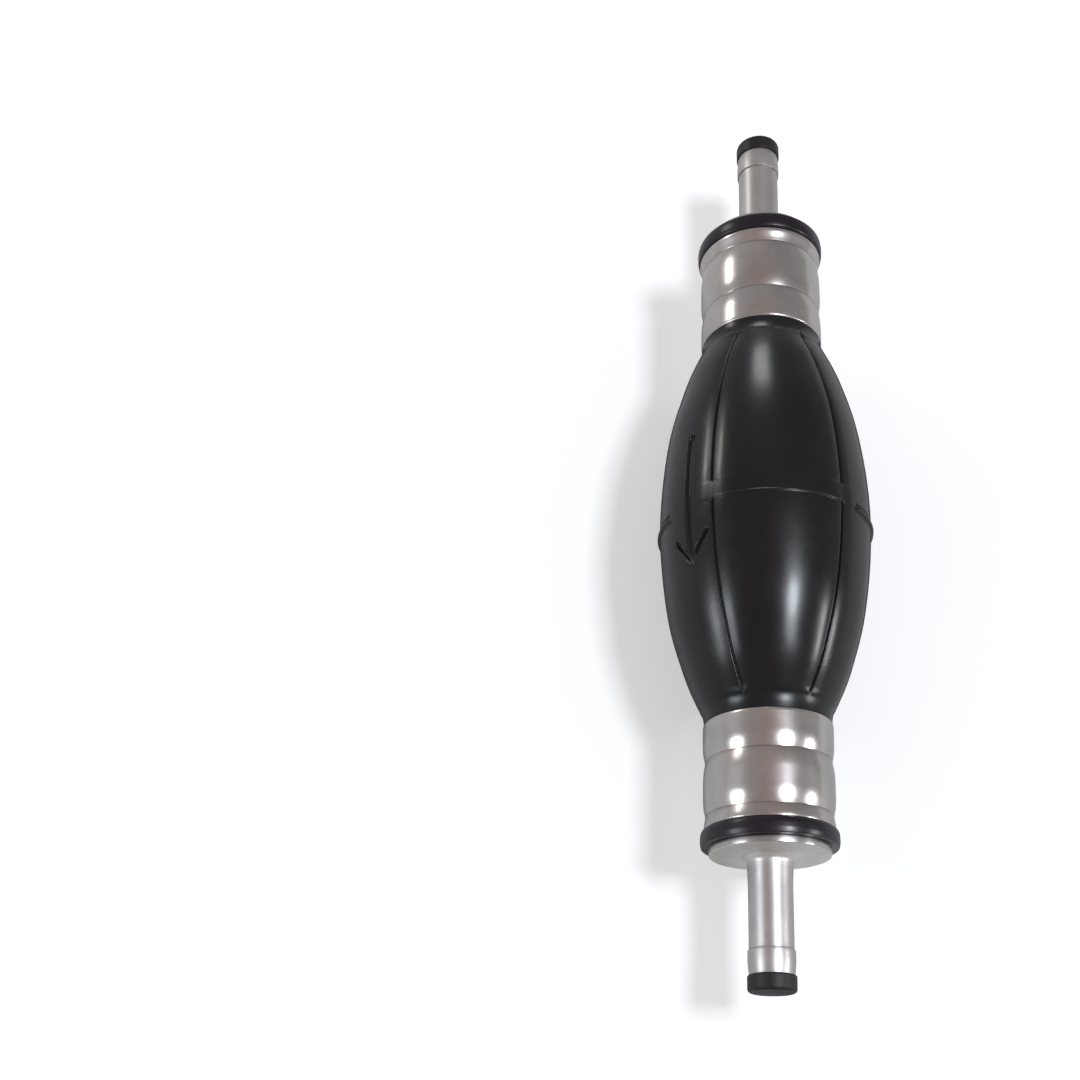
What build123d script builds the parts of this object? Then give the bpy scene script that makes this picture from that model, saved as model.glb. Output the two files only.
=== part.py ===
from build123d import *
import os

# Siphon bulb pump: a hand-squeezed rubber bulb between two turned aluminium
# hose fittings, each with a spring-loaded check valve that opens towards +X.
# Millimetres and degrees. The pump's axis is X, the inlet is at -X and the outlet
# at +X. +Z is up and carries the centre of the upper gripping panel.
#
# Sections are half profiles of (x, radius) in the XY plane, turned about X.
# In names, _IN is the end of a part nearer the middle of the pump and _OUT the
# end further from it. Stations of the two ends are distances from the middle;
# `end` is -1 for the inlet and +1 for the outlet.

# ---------------------------------------------------------------- clearances
GAP = 0.05                   # between neighbouring parts
SLIDE_FIT = 0.1              # radial, for parts that slide into or over another
VALVE_GAP = 0.02             # axial, between stacked valve parts

# ---------------------------------------------------------------- sleeve
SLEEVE_IN = 50.0
SLEEVE_OUT = 75.0
SLEEVE_R = 14.85
SLEEVE_WALL = 1.0
SLEEVE_BORE = SLEEVE_R - SLEEVE_WALL
SLEEVE_CHAMFER_IN = 0.35
SLEEVE_CHAMFER_OUT = 0.3
GROOVE_AT = (58.9, 71.7)     # two rolled crimp grooves
GROOVE_HALF = 2.9            # half width
GROOVE_DEPTH = 0.6
GROOVE_MID_SHARE = 0.40      # share of the depth reached halfway down each flank

# ---------------------------------------------------------------- fitting
SPIGOT_IN = 56.0
SPIGOT_R = 10.2
SPIGOT_CHAMFER = 0.5
SPIGOT_BARB_R = 10.8
SPIGOT_BARB_L = 3.2
SPIGOT_BARBS = (72.5, 68.5, 64.5, 60.5)    # steep face of each barb
POCKET_R = 8.0               # valve pocket
POCKET_END = 70.0
THROAT_R = 6.0
THROAT_END = 74.0
THROAT_CONE = 78.0           # where the cone has narrowed to the port
PORT_R = 3.5
CLIP_GROOVE_R = 8.6
CLIP_GROOVE_IN, CLIP_GROOVE_OUT = 57.05, 58.0
FLARE = 3.2                  # concave flare from the flange to the nipple
SHANK_R = 5.0
BARB_IN = 101.8
BARB_LAND = 104.4            # outer end of the barb's straight land
BARB_R = 5.3
TIP_X = 107.2
TIP_R = 5.05

# ---------------------------------------------------------------- end ring
RING_IN = SLEEVE_OUT + GAP
RING_OUT = 78.75
RING_R = 15.6
RING_BORE = SPIGOT_R + SLIDE_FIT
RING_ROUND_IN = 1.0
RING_ROUND_OUT = 0.35

# flange of the fitting, outside the end ring
FLANGE_IN = RING_OUT + GAP
FLANGE_OUT = 80.6
FLANGE_R = 13.65
FLANGE_CHAMFER = 0.4

# ---------------------------------------------------------------- cap
CAP_STEM_IN = 101.25
CAP_STEM_R = PORT_R - GAP
CAP_LEAD_L, CAP_LEAD_H = 0.5, 0.4          # chamfer on the stem: along X, radially
CAP_HEAD_IN = TIP_X + GAP
CAP_END = 111.05
CAP_R = 5.45
CAP_ROUND = 0.9

# ---------------------------------------------------------------- bulb
WALL = 3.0                   # rubber wall
BULB_R = 25.0                # outer radius at the equator
BULB_END = SLEEVE_IN - GAP   # shoulder that meets the sleeve
BULB_END_R = 14.75
NECK_END = SLEEVE_OUT - GAP  # end of the neck, under the sleeve
NECK_R = SLEEVE_BORE - GAP
NECK_BORE = SPIGOT_BARB_R + GAP
CAVITY_END = 53.0
# half profiles: distance from the middle, radius
BULB_PROFILE = [(10, 24.55), (19, 23.55), (27, 22.10), (34, 20.15),
                (40, 18.15), (44.5, 16.20), (47.5, 15.05)]
CAVITY_PROFILE = [(x, radius - WALL) for x, radius in BULB_PROFILE[:5]] + [(46, 12.60)]

# gripping panel: the middle of the upper and of the lower wall gives way
GRIP_HALF_W = 15.2           # at the equator
GRIP_HALF_L = 37.0
GRIP_CORNER_X = 33.0
GRIP_CORNER_Y = 11.0
GRIP_CORNER_ROUND = 2.0
GRIP_GAP = 0.15
GRIP_CUT_H = 30.0            # tall enough to pass right through the wall

# raised rib on each side of the equator, sunk into the wall down to RIB_ROOT_R
RIB_X = 2.3
RIB_W = 0.9
RIB_R = 25.6
RIB_ROOT_R = BULB_R - 1.0
RIB_ROUND = 0.3
# side (+1 is +Y, -1 is -Y): first angle from +Z towards that side, arc
RIBS = {1: (48.0, 84.0), -1: (70.0, 40.0)}

# ---------------------------------------------------------------- valve
# The valve's own stations count along +X from the upstream face of its seat.
VALVE_AT = {"inlet": -POCKET_END, "outlet": CLIP_GROOVE_OUT}
SEAT_T = 3.0
SEAT_R = POCKET_R - SLIDE_FIT
SEAT_BORE = 3.2
SEAT_CHAMFER = 0.4
SEAT_GROOVE = (0.85, 2.15)
SEAT_GROOVE_R = 6.85
O_RING_R = 7.45              # to the middle of the cord
O_RING_WIRE = 0.53           # cord radius

POPPET_NOSE = 2.2
POPPET_NOSE_R = 2.0
POPPET_NOSE_CHAMFER = 0.5
SEAL_IN, SEAL_OUT = SEAT_T + VALVE_GAP, 4.0
SEAL_R = 4.6
SEAL_BORE = POPPET_NOSE_R + GAP
SEAL_CHAMFER = 0.3
POPPET_DISC = (SEAL_OUT + VALVE_GAP, 5.4)
POPPET_R = 5.0
POPPET_BOSS, POPPET_BOSS_R = 6.2, 1.8
STEM_R, STEM_END = 1.25, 12.4
STEM_CHAMFER = 0.4

CAGE_IN = SEAT_T + VALVE_GAP
CAGE_END = POCKET_END - CLIP_GROOVE_OUT    # seat and cage fill the pocket
CAGE_R, CAGE_BORE = SEAT_R, 6.7
HUB_IN, HUB_R = 9.8, 2.5
HUB_BORE = STEM_R + GAP
SPOKES = 3
SPOKE_W = 1.4
SPOKE_OVERLAP = 0.6          # total extra length, shared by the hub and the skirt

SPRING_IN, SPRING_OUT = 5.70, 9.50
SPRING_R, SPRING_TURNS = 2.25, 2.5
SPRING_WIRE = 0.22           # wire radius

# circlip, open towards -Z, with an eye on each side of the opening
CLIP_IN, CLIP_OUT = CLIP_GROOVE_IN + GAP, CLIP_GROOVE_OUT - GAP
CLIP_R, CLIP_BORE = CLIP_GROOVE_R - SLIDE_FIT, 7.0
CLIP_OPENING_W, CLIP_OPENING_H = 5.0, 6.0
CLIP_OPENING_Z = -CLIP_R + 0.5
CLIP_EYE_Y, CLIP_EYE_Z = 3.3, -5.9
CLIP_EYE_R, CLIP_EYE_HOLE_R = 1.05, 0.45

# How far the middle of a quarter arc lies from its tangent lines, for radius 1
ARC_MIDDLE = 1 - 0.5 ** 0.5

os.makedirs("parts", exist_ok=True)


# ---------------------------------------------------------------- helpers
def save(part, name):
    part.label = name
    export_step(part, f"parts/{name}.step")


def save_turned(section, name):
    """Turn a half section about the pump's axis and write it."""
    with BuildPart() as turned:
        revolve(section, axis=Axis.X)
    save(turned.part, name)


def crimped_line(end, x_in, x_out, radius):
    """A straight wall from x_in to x_out with both crimp grooves in it."""
    x_start = x_in
    for x in GROOVE_AT:
        half = GROOVE_HALF
        flank_r = radius - GROOVE_DEPTH * GROOVE_MID_SHARE
        Line((end * x_start, radius), (end * (x - half), radius))
        Spline((end * (x - half), radius), (end * (x - half / 2), flank_r),
               (end * x, radius - GROOVE_DEPTH),
               (end * (x + half / 2), flank_r), (end * (x + half), radius),
               tangents=((end, 0), (end, 0)))
        x_start = x + half
    Line((end * x_start, radius), (end * x_out, radius))


def both_halves(middle_r, profile):
    """Points of a half profile mirrored to -X, joined through the equator."""
    return [(-x, radius) for x, radius in reversed(profile)] + [(0, middle_r)] + profile


# ---------------------------------------------------------------- bulb
def bulb_section():
    with BuildSketch(Plane.XY) as section:
        with BuildLine():
            Spline(*both_halves(BULB_R, BULB_PROFILE + [(BULB_END, BULB_END_R)]))
            for end in (1, -1):
                Line((end * BULB_END, BULB_END_R), (end * BULB_END, NECK_R))
                crimped_line(end, BULB_END, NECK_END, NECK_R)
                Line((end * NECK_END, NECK_R), (end * NECK_END, NECK_BORE))
                Line((end * NECK_END, NECK_BORE), (end * CAVITY_END, NECK_BORE))
            Spline(*both_halves(BULB_R - WALL, CAVITY_PROFILE + [(CAVITY_END, NECK_BORE)]))
        make_face()
    return section.sketch


def grip_outline(grow):
    """Outline of a gripping panel seen along Z, grown outwards by grow."""
    with BuildSketch(Plane.XY) as outline:
        with BuildLine():
            x, y = GRIP_CORNER_X, GRIP_CORNER_Y
            ThreePointArc((-x, -y), (0, -GRIP_HALF_W), (x, -y))
            ThreePointArc((x, -y), (GRIP_HALF_L, 0), (x, y))
            ThreePointArc((x, y), (0, GRIP_HALF_W), (-x, y))
            ThreePointArc((-x, y), (-GRIP_HALF_L, 0), (-x, -y))
        make_face()
        fillet(outline.vertices(), GRIP_CORNER_ROUND)
        if grow:
            offset(amount=grow)
    return outline.sketch


def make_bulb(shell):
    """The bulb with its side ribs, and windows for both gripping walls."""
    window = grip_outline(GRIP_GAP)
    with BuildPart() as bulb:
        revolve(shell, axis=Axis.X)
        for side, (start, arc) in RIBS.items():
            rib_plane = Plane(origin=(0, 0, 0), x_dir=(1, 0, 0),
                              z_dir=Vector(0, -1, 0).rotate(Axis.X, -side * start))
            with BuildSketch(rib_plane) as rib:
                with Locations((RIB_X, (RIB_R + RIB_ROOT_R) / 2)):
                    Rectangle(RIB_W, RIB_R - RIB_ROOT_R)
                fillet(rib.vertices().group_by(Axis.Y, tol_digits=3)[-1], RIB_ROUND)
            revolve(axis=Axis.X, revolution_arc=-side * arc)
        extrude(window, amount=GRIP_CUT_H, both=True, mode=Mode.SUBTRACT)
    save(bulb.part, "bulb")


def make_grip_walls(shell):
    """Gripping walls as solids of their own, so that they can be pressed in."""
    panel = grip_outline(0)
    for place, height in (("top", GRIP_CUT_H), ("bottom", -GRIP_CUT_H)):
        with BuildPart() as wall:
            revolve(shell, axis=Axis.X)
            extrude(panel, amount=height, mode=Mode.INTERSECT)
        save(wall.part, f"bulb_{place}_grip_wall")


# ---------------------------------------------------------------- parts round the neck
def sleeve_section(end):
    """Thin aluminium sleeve, rolled down on to the neck in two places."""
    chamfer_in_x = SLEEVE_IN + SLEEVE_CHAMFER_IN
    chamfer_out_x = SLEEVE_OUT - SLEEVE_CHAMFER_OUT
    with BuildSketch(Plane.XY) as section:
        with BuildLine():
            Polyline((end * SLEEVE_IN, SLEEVE_BORE),
                     (end * SLEEVE_IN, SLEEVE_R - SLEEVE_CHAMFER_IN),
                     (end * chamfer_in_x, SLEEVE_R))
            crimped_line(end, chamfer_in_x, chamfer_out_x, SLEEVE_R)
            Polyline((end * chamfer_out_x, SLEEVE_R),
                     (end * SLEEVE_OUT, SLEEVE_R - SLEEVE_CHAMFER_OUT),
                     (end * SLEEVE_OUT, SLEEVE_BORE))
            crimped_line(end, SLEEVE_IN, SLEEVE_OUT, SLEEVE_BORE)
        make_face()
    return section.sketch


def ring_section(end):
    """Rubber ring between the sleeve and the flange."""
    inner, outer = (0, -1) if end > 0 else (-1, 0)    # rim corners in order of X
    with BuildSketch(Plane.XY) as section:
        with BuildLine():
            Polyline((end * RING_IN, RING_BORE), (end * RING_IN, RING_R),
                     (end * RING_OUT, RING_R), (end * RING_OUT, RING_BORE), close=True)
        make_face()
        for corner, radius in ((inner, RING_ROUND_IN), (outer, RING_ROUND_OUT)):
            rim = section.vertices().group_by(Axis.Y)[-1].sort_by(Axis.X)
            fillet(rim[corner], radius)
    return section.sketch


def fitting_section(end):
    """Turned aluminium fitting: barbed spigot, valve pocket, flange and hose nipple."""
    bore_and_nipple = [
        (SPIGOT_IN, POCKET_R), (CLIP_GROOVE_IN, POCKET_R), (CLIP_GROOVE_IN, CLIP_GROOVE_R),
        (CLIP_GROOVE_OUT, CLIP_GROOVE_R), (CLIP_GROOVE_OUT, POCKET_R),
        (POCKET_END, POCKET_R), (POCKET_END, THROAT_R), (THROAT_END, THROAT_R),
        (THROAT_CONE, PORT_R), (TIP_X, PORT_R), (TIP_X, TIP_R), (BARB_LAND, BARB_R),
        (BARB_IN, BARB_R), (BARB_IN, SHANK_R), (FLANGE_OUT + FLARE, SHANK_R)]
    flange_and_spigot = [
        (FLANGE_OUT, SHANK_R + FLARE), (FLANGE_OUT, FLANGE_R - FLANGE_CHAMFER),
        (FLANGE_OUT - FLANGE_CHAMFER, FLANGE_R), (FLANGE_IN, FLANGE_R), (FLANGE_IN, SPIGOT_R)]
    for x in SPIGOT_BARBS:
        flange_and_spigot += [(x, SPIGOT_R), (x, SPIGOT_BARB_R), (x - SPIGOT_BARB_L, SPIGOT_R)]
    flange_and_spigot += [
        (SPIGOT_IN + SPIGOT_CHAMFER, SPIGOT_R), (SPIGOT_IN, SPIGOT_R - SPIGOT_CHAMFER),
        (SPIGOT_IN, POCKET_R)]
    middle = FLARE * ARC_MIDDLE
    with BuildSketch(Plane.XY) as section:
        with BuildLine():
            Polyline(*[(end * x, radius) for x, radius in bore_and_nipple])
            ThreePointArc((end * (FLANGE_OUT + FLARE), SHANK_R),
                          (end * (FLANGE_OUT + middle), SHANK_R + middle),
                          (end * FLANGE_OUT, SHANK_R + FLARE))
            Polyline(*[(end * x, radius) for x, radius in flange_and_spigot])
        make_face()
    return section.sketch


def cap_section(end):
    """Push-in transport cap."""
    round_x = CAP_END - CAP_ROUND
    middle = CAP_ROUND * ARC_MIDDLE
    with BuildSketch(Plane.XY) as section:
        with BuildLine():
            Polyline((end * CAP_STEM_IN, 0), (end * CAP_STEM_IN, CAP_STEM_R - CAP_LEAD_H),
                     (end * (CAP_STEM_IN + CAP_LEAD_L), CAP_STEM_R),
                     (end * CAP_HEAD_IN, CAP_STEM_R),
                     (end * CAP_HEAD_IN, CAP_R), (end * round_x, CAP_R))
            ThreePointArc((end * round_x, CAP_R), (end * (CAP_END - middle), CAP_R - middle),
                          (end * CAP_END, CAP_R - CAP_ROUND))
            Polyline((end * CAP_END, CAP_R - CAP_ROUND), (end * CAP_END, 0),
                     (end * CAP_STEM_IN, 0))
        make_face()
    return section.sketch


# ---------------------------------------------------------------- valve
# Closed loops of (station, radius)
SEAT_LOOP = [
    (0, SEAT_BORE), (0, SEAT_R), (SEAT_GROOVE[0], SEAT_R), (SEAT_GROOVE[0], SEAT_GROOVE_R),
    (SEAT_GROOVE[1], SEAT_GROOVE_R), (SEAT_GROOVE[1], SEAT_R), (SEAT_T, SEAT_R),
    (SEAT_T, SEAT_BORE)]
SEAL_LOOP = [
    (SEAL_IN, SEAL_BORE), (SEAL_IN, SEAL_R - SEAL_CHAMFER), (SEAL_IN + SEAL_CHAMFER, SEAL_R),
    (SEAL_OUT, SEAL_R), (SEAL_OUT, SEAL_BORE)]
POPPET_LOOP = [
    (POPPET_NOSE, 0), (POPPET_NOSE, POPPET_NOSE_R - POPPET_NOSE_CHAMFER),
    (POPPET_NOSE + POPPET_NOSE_CHAMFER, POPPET_NOSE_R), (POPPET_DISC[0], POPPET_NOSE_R),
    (POPPET_DISC[0], POPPET_R), (POPPET_DISC[1], POPPET_R), (POPPET_DISC[1], POPPET_BOSS_R),
    (POPPET_BOSS, POPPET_BOSS_R), (POPPET_BOSS, STEM_R), (STEM_END - STEM_CHAMFER, STEM_R),
    (STEM_END, STEM_R - STEM_CHAMFER), (STEM_END, 0)]
SKIRT_LOOP = [
    (CAGE_IN, CAGE_BORE), (CAGE_IN, CAGE_R), (CAGE_END, CAGE_R), (CAGE_END, CAGE_BORE)]
HUB_LOOP = [(HUB_IN, HUB_BORE), (HUB_IN, HUB_R), (CAGE_END, HUB_R), (CAGE_END, HUB_BORE)]


def valve_section(seat_x, *loops):
    """Section of a valve part whose seat starts at seat_x."""
    with BuildSketch(Plane.XY) as section:
        for loop in loops:
            with BuildLine():
                Polyline(*[(seat_x + x, radius) for x, radius in loop], close=True)
            make_face()
    return section.sketch


def make_seat(name, seat_x):
    """Valve seat with the groove for its O-ring and a chamfered downstream bore."""
    section = valve_section(seat_x, SEAT_LOOP)
    with BuildPart() as seat:
        revolve(section, axis=Axis.X)
        chamfer(seat.edges().filter_by(GeomType.CIRCLE).filter_by(
            lambda edge: abs(edge.radius - SEAT_BORE) < 0.01
            and edge.center().X > seat_x + SEAT_T / 2), SEAT_CHAMFER)
    save(seat.part, name)


def make_o_ring(name, seat_x):
    with BuildPart() as o_ring:
        with BuildSketch(Plane.XY):
            with Locations((seat_x + sum(SEAT_GROOVE) / 2, O_RING_R)):
                Circle(O_RING_WIRE)
        revolve(axis=Axis.X)
    save(o_ring.part, name)


def make_cage(name, seat_x):
    """A skirt and a hub joined by spokes, one of them towards +Z."""
    section = valve_section(seat_x, SKIRT_LOOP, HUB_LOOP)
    with BuildPart() as cage:
        revolve(section, axis=Axis.X)
        with BuildSketch(Plane.YZ.offset(seat_x + HUB_IN)):
            with PolarLocations((HUB_R + CAGE_BORE) / 2, SPOKES, start_angle=90):
                Rectangle(CAGE_BORE - HUB_R + SPOKE_OVERLAP, SPOKE_W)
        extrude(amount=CAGE_END - HUB_IN)
    save(cage.part, name)


def make_spring(name, seat_x):
    """Compression spring round the stem."""
    height = SPRING_OUT - SPRING_IN
    with BuildPart() as spring:
        with BuildLine() as coil:
            Helix(pitch=height / SPRING_TURNS, height=height, radius=SPRING_R,
                  center=(seat_x + SPRING_IN, 0, 0), direction=(1, 0, 0))
        with BuildSketch(Plane(origin=coil.line @ 0, z_dir=coil.line % 0)):
            Circle(SPRING_WIRE)
        sweep(is_frenet=True)
    save(spring.part, name)


def make_circlip(name, end):
    """Internal circlip that holds the valve in its pocket."""
    low_x = CLIP_IN if end > 0 else -CLIP_OUT
    with BuildPart() as circlip:
        with BuildSketch(Plane.YZ.offset(low_x)):
            Circle(CLIP_R)
            Circle(CLIP_BORE, mode=Mode.SUBTRACT)
            with Locations((0, CLIP_OPENING_Z)):
                Rectangle(CLIP_OPENING_W, CLIP_OPENING_H, mode=Mode.SUBTRACT)
            with Locations((CLIP_EYE_Y, CLIP_EYE_Z), (-CLIP_EYE_Y, CLIP_EYE_Z)):
                Circle(CLIP_EYE_R)
                Circle(CLIP_EYE_HOLE_R, mode=Mode.SUBTRACT)
        extrude(amount=CLIP_OUT - CLIP_IN)
    save(circlip.part, name)


# ---------------------------------------------------------------- build
bulb_shell = bulb_section()
make_bulb(bulb_shell)
make_grip_walls(bulb_shell)

for prefix, end in (("inlet", -1), ("outlet", 1)):
    save_turned(fitting_section(end), f"{prefix}_fitting")
    save_turned(sleeve_section(end), f"{prefix}_sleeve")
    save_turned(ring_section(end), f"{prefix}_end_ring")
    save_turned(cap_section(end), f"{prefix}_port_cap")

    seat_x = VALVE_AT[prefix]
    make_seat(f"{prefix}_valve_seat", seat_x)
    make_o_ring(f"{prefix}_seat_o_ring", seat_x)
    # the poppet and its seal lift together
    save_turned(valve_section(seat_x, POPPET_LOOP), f"{prefix}_poppet")
    save_turned(valve_section(seat_x, SEAL_LOOP), f"{prefix}_poppet_seal")
    make_cage(f"{prefix}_valve_cage", seat_x)
    make_spring(f"{prefix}_valve_spring", seat_x)
    make_circlip(f"{prefix}_retaining_ring", end)
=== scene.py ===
"""A squeeze-bulb hand pump: a rubber bulb with a crimped sleeve, ring, fitting and cap at each end.

The pump's axis is X, with the inlet at -X and the outlet at +X. The two gripping panels face
+Z and -Z, and the bulb's seams lie at +Y and -Y. Angles round the axis run from +Z towards +Y.
Shapes are given in millimetres, and materials, lights and the camera in metres.
"""
import math

import bpy
import numpy as np
from mathutils import Matrix, Vector


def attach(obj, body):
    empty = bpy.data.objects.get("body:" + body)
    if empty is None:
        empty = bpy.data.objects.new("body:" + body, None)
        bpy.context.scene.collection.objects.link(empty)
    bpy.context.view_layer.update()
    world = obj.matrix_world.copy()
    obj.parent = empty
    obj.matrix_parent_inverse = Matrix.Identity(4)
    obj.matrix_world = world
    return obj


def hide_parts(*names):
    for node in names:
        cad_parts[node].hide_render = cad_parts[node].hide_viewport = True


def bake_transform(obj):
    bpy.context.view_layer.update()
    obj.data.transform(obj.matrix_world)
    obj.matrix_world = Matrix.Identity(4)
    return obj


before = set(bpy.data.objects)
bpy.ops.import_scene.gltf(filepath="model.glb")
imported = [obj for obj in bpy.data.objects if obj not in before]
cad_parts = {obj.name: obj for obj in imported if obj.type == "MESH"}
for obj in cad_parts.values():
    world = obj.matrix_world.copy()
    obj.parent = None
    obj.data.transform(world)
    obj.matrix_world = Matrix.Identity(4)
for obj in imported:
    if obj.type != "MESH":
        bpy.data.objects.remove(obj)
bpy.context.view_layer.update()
MM = 0.001

# ------------------------------------------------------------------ dimensions, mm
BULB_PROFILE = [    # |x|, outer radius
    (0, 25.0), (10, 24.55), (19, 23.55), (27, 22.10), (34, 20.15), (40, 18.15),
    (44.5, 16.20), (47.5, 15.05), (50, 14.75)]
CAVITY_PROFILE = [  # |x|, inner radius
    (0, 22.0), (10, 21.55), (19, 20.55), (27, 19.10), (34, 17.15), (40, 15.15),
    (46, 12.60), (53, 10.85)]
PANEL_EDGE = [      # |x|, half angle of a gripping panel in degrees
    (0, 36.8), (10, 36.5), (18, 36.1), (25, 35.2), (34, 33.7), (40, 32.0),
    (44, 30.2), (47.5, 28.6), (52, 27.0)]
MIDDLE_R = BULB_PROFILE[0][1]
MIDDLE_EDGE = PANEL_EDGE[0][1]
CAVITY_END, NECK_BORE_R = CAVITY_PROFILE[-1]

BODY_END = 49.95            # the full bulb stops here and the neck starts
NECK_START, NECK_END = 50.2, 74.95
NECK_R = 13.8
NECK_STATIONS = 60
BODY_STATIONS = [   # start, stop, step along x; finer at the arrow, the ribs and the collars
    (-BODY_END, -44.5, 0.35), (-44.5, -18, 0.8), (-17.9, -13.5, 0.16), (-13.5, -3, 0.8),
    (-3.0, 0.6, 0.15), (0.6, 3.6, 0.075), (4.2, 8.3, 0.8), (8.6, 17.2, 0.15),
    (17.6, 44.5, 0.8), (44.5, 49.96, 0.35)]
INNER_STEP = 8              # outer mesh lines to each inner one

ARROW_ANGLE = -52.2         # degrees; a second arrow lies half a turn away
ARROW_DEPTH = 0.92
ARROW_STROKES = [   # start x, start s, end x, end s, half width; s runs round the bulb
    (-15.8, 0.0, 14.4, 0.0, 1.2), (15.7, 0.1, 9.7, -4.9, 0.78), (15.7, -0.1, 9.6, 4.9, 0.70)]

GROOVES = (58.9, 71.7)      # |x| of the two rolled grooves
SLEEVE_START = 50.0
SLEEVE_R, SLEEVE_BORE_R = 14.87, 13.87
START_LIP_R, END_LIP_R = 0.4, 0.36
END_LIP_X = 74.62
CONE_R, CONE_SLOPE = 14.30, 0.312   # the inlet sleeve's last band
VALLEY_NOSE = 0.16          # rounding at the bottom of a sleeve groove

RING_PROFILE = [    # x, radius, corner rounding
    (75.05, 10.3, 0.1), (75.05, 15.3, 0.85), (76.2, 15.57, 4.0), (77.6, 15.6, 4.0),
    (78.75, 15.42, 0.22), (78.75, 10.3, 0.1)]
CAP_PROFILE = [     # x, radius, corner rounding
    (101.25, 0.0, 0), (101.25, 3.45, 0.45), (107.25, 3.45, 0.05), (107.25, 5.45, 0.28),
    (111.05, 5.45, 0.90), (111.0, 0.0, 0)]

FACE_X = 80.6               # outward face of the fitting's flange
FLANGE_R = 13.72
STEM_R, STEM_FILLET = 5.18, 1.8
FITTING_BORE_AND_STEM = [   # x, radius, corner rounding
    (56.0, 8.0, 0.1), (57.05, 8.0, 0), (57.05, 8.6, 0), (58.0, 8.6, 0), (58.0, 8.0, 0),
    (70.0, 8.0, 0.1), (70.0, 6.0, 0.1), (74.0, 6.0, 0.3), (78.0, 3.5, 0.5),
    (107.2, 3.5, 0.1), (107.2, 5.05, 0.12), (104.4, 5.30, 0.5), (101.8, 5.30, 0.07),
    (101.8, 5.0, 0.06), (87.0, 5.0, 0), (82.45, STEM_R, 0)]
SHANK_R = 10.2
FITTING_FLANGE = [
    (80.61, 7.15, 0), (FACE_X, 7.9, 0), (FACE_X, 8.6, 0), (FACE_X, FLANGE_R, 0.32),
    (78.8, FLANGE_R, 0.12), (78.8, SHANK_R, 0.1)]
RIDGES = (72.5, 68.5, 64.5, 60.5)   # steep side of each sawtooth ridge on the shank
RIDGE_R, RIDGE_LENGTH = 10.8, 3.2
FITTING_TIP = [(56.5, SHANK_R, 0.1), (56.0, 9.7, 0.1)]

VALVE_X = {"inlet": -70.0, "outlet": 58.0}  # both valves face the same way
SPRING_POPPET, SPRING_CAGE = 5.7, 9.5       # the spring's two ends, from VALVE_X

LATHE_SEGMENTS = 192
CAP_SEGMENTS = 128


# ------------------------------------------------------------------ curves
def smoothstep(x, low, high):
    t = np.clip((np.asarray(x, float) - low) / (high - low), 0, 1)
    return t * t * (3 - 2 * t)


def bell(x, centre, width, power=2):
    return np.exp(-np.abs((x - centre) / width) ** power)


def natural_spline(points):
    """Natural cubic through (x, y) points, as a function held constant beyond its ends."""
    xs, ys = np.array(points, float).T
    n = len(xs)
    gap = np.diff(xs)
    system = np.zeros((n, n))
    target = np.zeros(n)
    system[0, 0] = system[-1, -1] = 1
    for i in range(1, n - 1):
        system[i, i - 1:i + 2] = gap[i - 1], 2 * (gap[i - 1] + gap[i]), gap[i]
        target[i] = 6 * ((ys[i + 1] - ys[i]) / gap[i] - (ys[i] - ys[i - 1]) / gap[i - 1])
    curve = np.linalg.solve(system, target)

    def value(x):
        x = np.clip(np.asarray(x, float), xs[0], xs[-1])
        i = np.clip(np.searchsorted(xs, x) - 1, 0, n - 2)
        before, after = x - xs[i], xs[i + 1] - x
        cubic = (curve[i] * after ** 3 + curve[i + 1] * before ** 3) / (6 * gap[i])
        start = (ys[i] / gap[i] - curve[i] * gap[i] / 6) * after
        return cubic + start + (ys[i + 1] / gap[i] - curve[i + 1] * gap[i] / 6) * before
    return value


def mirrored(points):
    """The table of (|x|, y) points carried on to negative x."""
    return [(-x, y) for x, y in points[:0:-1]] + points


bulb_radius = natural_spline(mirrored(BULB_PROFILE))
cavity_radius = natural_spline(mirrored(CAVITY_PROFILE))
panel_edge = natural_spline(PANEL_EDGE)


def crimp(x, radius, depth=0.6, nose=0.25, half=2.9, power=1.7,
          far_half=2.9, far_power=1.7, far_side=1):
    """Radius with both rolled grooves: flanks that steepen towards a tight valley.
    The far_ values shape the flank beyond each valley (far_side 1) or before it (-1)."""
    dip = 0
    for groove in GROOVES:
        offset = np.abs(x) - groove
        away = np.abs(offset)
        away = np.where(away < nose, (away * away + nose * nose) / (2 * nose), away)
        near = depth * (1 - np.clip(away / half, 0, 1)) ** power
        far = depth * (1 - np.clip(away / far_half, 0, 1)) ** far_power
        dip = dip + np.where(offset * far_side > 0, far, near)
    return radius - dip


# ------------------------------------------------------------------ meshes
def new_object(name, verts, faces, sharp_angle):
    mesh = bpy.data.meshes.new(name)
    mesh.from_pydata([tuple(v) for v in verts], [], faces)
    mesh.validate(verbose=False)
    mesh.update()
    obj = bpy.data.objects.new(name, mesh)
    bpy.context.scene.collection.objects.link(obj)
    mesh.shade_smooth()
    mesh.set_sharp_from_angle(angle=math.radians(sharp_angle))
    return obj


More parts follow.
